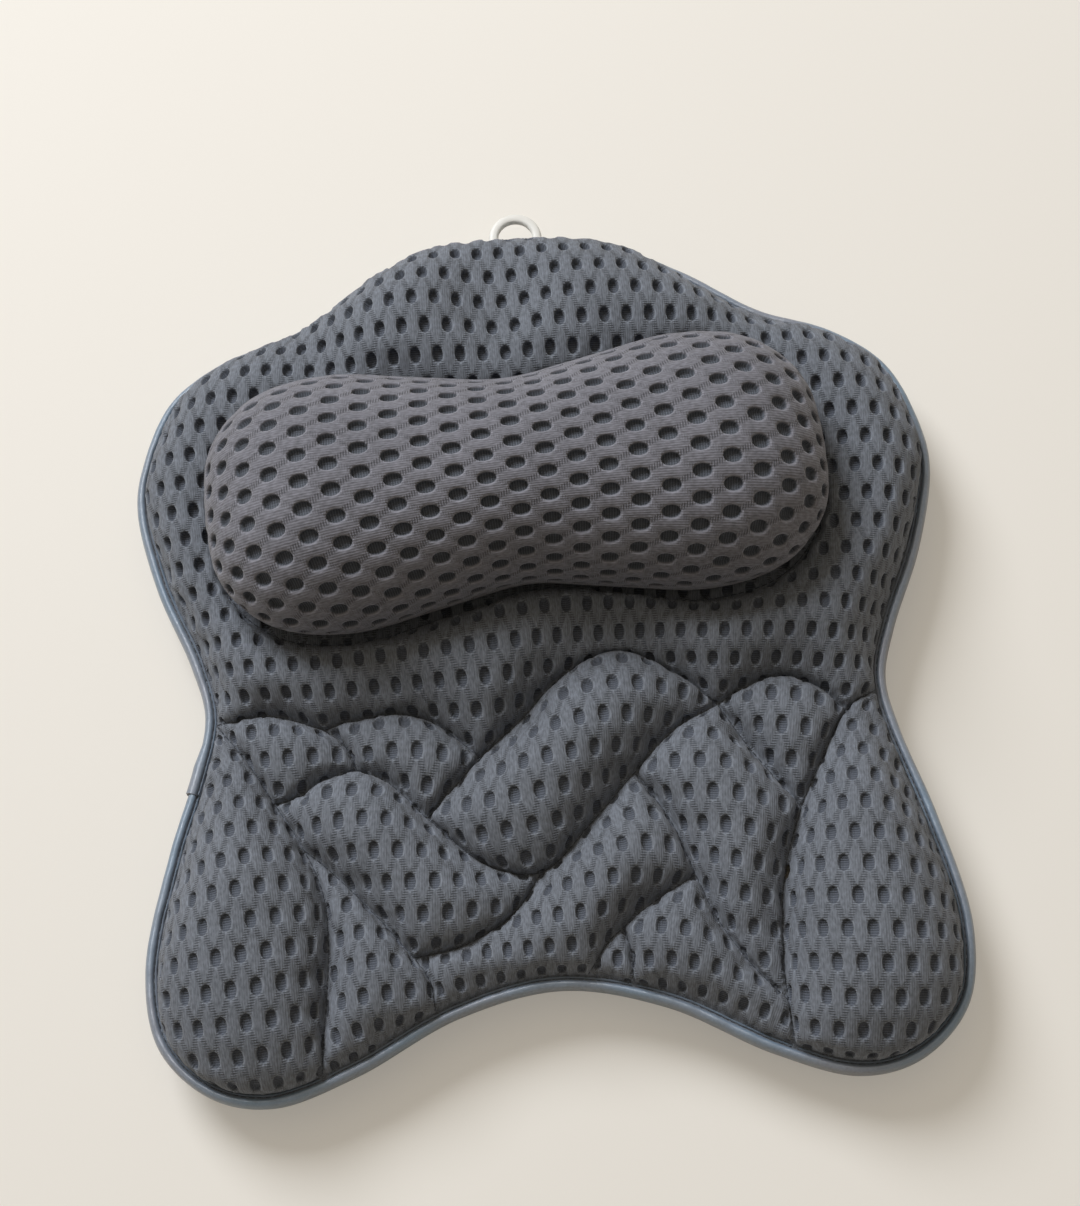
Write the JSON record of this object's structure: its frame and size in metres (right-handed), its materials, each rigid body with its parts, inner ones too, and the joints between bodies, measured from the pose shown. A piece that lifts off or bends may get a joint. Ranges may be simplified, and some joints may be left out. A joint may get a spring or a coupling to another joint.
{
  "type": "bath pillow",
  "caption": "Winged air-mesh bath pillow with a quilted panel, a bone-shaped neck roll, a bound edge, swivelling suction cups on its back and a hanging ring.",
  "frame": {"origin": "on the plane of the suction cups' rims, under the middle of the whole length and width", "axes": "+X to the right seen from the padded front, +Y to the head end with the ring, +Z out of the front"},
  "size_m": [0.3312, 0.3808, 0.1023],
  "materials": {
    "air_mesh": "open knit, matt",
    "roll_mesh": "open knit, matt",
    "satin_tape": "satin weave",
    "webbing": "woven",
    "wadding": "loose fibre",
    "clear_pvc": "clear",
    "grey_plastic": "moulded",
    "white_plastic": "moulded"
  },
  "bodies": {
    "pillow": {"front_cover": "air_mesh", "panel_wadding": "wadding", "back_cover": "air_mesh", "edge_binding": "satin_tape", "neck_roll_cover": "roll_mesh", "neck_roll_core": "wadding", "eyelet_1": "grey_plastic", "eyelet_2": "grey_plastic", "eyelet_3": "grey_plastic", "eyelet_4": "grey_plastic", "eyelet_5": "grey_plastic", "eyelet_6": "grey_plastic", "eyelet_washer_1": "grey_plastic", "eyelet_washer_2": "grey_plastic", "eyelet_washer_3": "grey_plastic", "eyelet_washer_4": "grey_plastic", "eyelet_washer_5": "grey_plastic", "eyelet_washer_6": "grey_plastic", "hook_tab": "webbing"},
    "suction_cup_1": {"suction_cup_1": "clear_pvc"},
    "suction_cup_2": {"suction_cup_2": "clear_pvc"},
    "suction_cup_3": {"suction_cup_3": "clear_pvc"},
    "suction_cup_4": {"suction_cup_4": "clear_pvc"},
    "suction_cup_5": {"suction_cup_5": "clear_pvc"},
    "suction_cup_6": {"suction_cup_6": "clear_pvc"},
    "hanging_ring": {"hanging_ring": "white_plastic"}
  },
  "joints": [
    {"name": "cup_1_swivel", "type": "hinge", "parent": "pillow", "child": "suction_cup_1", "pos_m": [-0.112, 0.08141, 0.021], "axis": [0, 0, 1], "continuous": true},
    {"name": "cup_2_swivel", "type": "hinge", "parent": "pillow", "child": "suction_cup_2", "pos_m": [0.112, 0.08141, 0.021], "axis": [0, 0, 1], "continuous": true},
    {"name": "cup_3_swivel", "type": "hinge", "parent": "pillow", "child": "suction_cup_3", "pos_m": [-0.072, -0.00859, 0.021], "axis": [0, 0, 1], "continuous": true},
    {"name": "cup_4_swivel", "type": "hinge", "parent": "pillow", "child": "suction_cup_4", "pos_m": [0.072, -0.00859, 0.021], "axis": [0, 0, 1], "continuous": true},
    {"name": "cup_5_swivel", "type": "hinge", "parent": "pillow", "child": "suction_cup_5", "pos_m": [-0.122, -0.13659, 0.021], "axis": [0, 0, 1], "continuous": true},
    {"name": "cup_6_swivel", "type": "hinge", "parent": "pillow", "child": "suction_cup_6", "pos_m": [0.122, -0.13659, 0.021], "axis": [0, 0, 1], "continuous": true},
    {"name": "ring_swing", "type": "hinge", "parent": "pillow", "child": "hanging_ring", "pos_m": [-0.002, 0.16141, 0.01541], "axis": [1, 0, 0], "range_deg": [-175, 5]}
  ]
}
